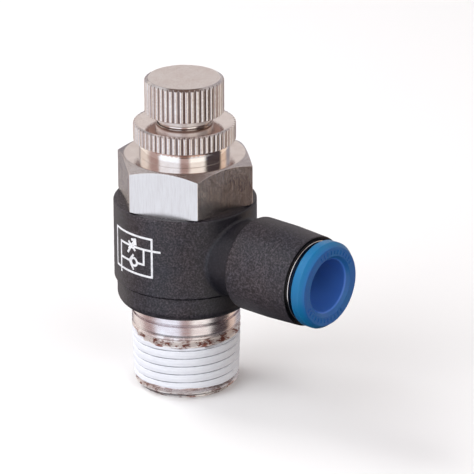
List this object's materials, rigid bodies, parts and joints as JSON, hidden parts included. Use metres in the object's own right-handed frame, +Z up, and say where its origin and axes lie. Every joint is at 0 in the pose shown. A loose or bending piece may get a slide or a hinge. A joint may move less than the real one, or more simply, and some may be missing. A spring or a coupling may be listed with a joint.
{
  "type": "flow control valve",
  "caption": "Elbow one-way flow control valve: taper-thread hollow bolt with hexagon, lock nut and knurled adjusting knob, and a swivelling push-in tube port.",
  "frame": {"origin": "centre of the taper thread's lower end", "axes": "+Z up the bolt to the adjusting knob, +X out along the tube port, +Y to complete a right-handed frame"},
  "size_m": [0.0397, 0.022, 0.0499],
  "materials": {
    "satin_nickel": "nickel plated, satin",
    "bright_nickel": "nickel plated, polished",
    "plain_brass": "turned, uncoated",
    "thread_coat": "dry white coating",
    "black_body": "fine textured moulding",
    "blue_ring": "smooth moulding",
    "natural_acetal": "smooth moulding",
    "black_rubber": "moulded rubber",
    "spring_steel": "cold rolled"
  },
  "bodies": {
    "bolt": {"hollow_bolt": "satin_nickel", "thread_sealant": "thread_coat", "needle_guide": "bright_nickel", "seat_ring": "plain_brass", "retaining_ring": "spring_steel", "lip_seal_clip": "natural_acetal", "check_lip_seal": "black_rubber", "upper_body_o_ring": "black_rubber", "lower_body_o_ring": "black_rubber", "guide_o_ring": "black_rubber"},
    "swivel": {"swivel_body": "black_body", "tube_seal": "black_rubber", "seal_support_ring": "natural_acetal", "grip_ring": "spring_steel", "cartridge_bush": "bright_nickel"},
    "release": {"release_ring": "blue_ring"},
    "spindle_seal": {"spindle_o_ring": "black_rubber"},
    "spindle": {"needle_spindle": "plain_brass", "knurled_knob": "satin_nickel"},
    "nut": {"lock_nut": "satin_nickel"}
  },
  "joints": [
    {"name": "swivel_turn", "type": "hinge", "parent": "bolt", "child": "swivel", "pos_m": [0, 0, 0.0233], "axis": [0, 0, 1], "continuous": true},
    {"name": "release_push", "type": "slide", "parent": "swivel", "child": "release", "axis": [-1, 0, 0], "range_m": [0, 0.0007], "stiffness_N_per_m": 400},
    {"name": "spindle_lift", "type": "slide", "parent": "bolt", "child": "spindle_seal", "axis": [0, 0, 1], "range_m": [0, 0.00451]},
    {"name": "spindle_turn", "type": "hinge", "parent": "spindle_seal", "child": "spindle", "pos_m": [0, 0, 0.03], "axis": [0, 0, 1], "range_deg": [0, 2160]},
    {"name": "lock_nut_turn", "type": "hinge", "parent": "bolt", "child": "nut", "pos_m": [0, 0, 0.0414], "axis": [0, 0, 1], "range_deg": [0, 720]}
  ],
  "couplings": [
    {"joint": "spindle_lift", "follows": "spindle_turn", "m_per_rad": 0.00011937}
  ]
}
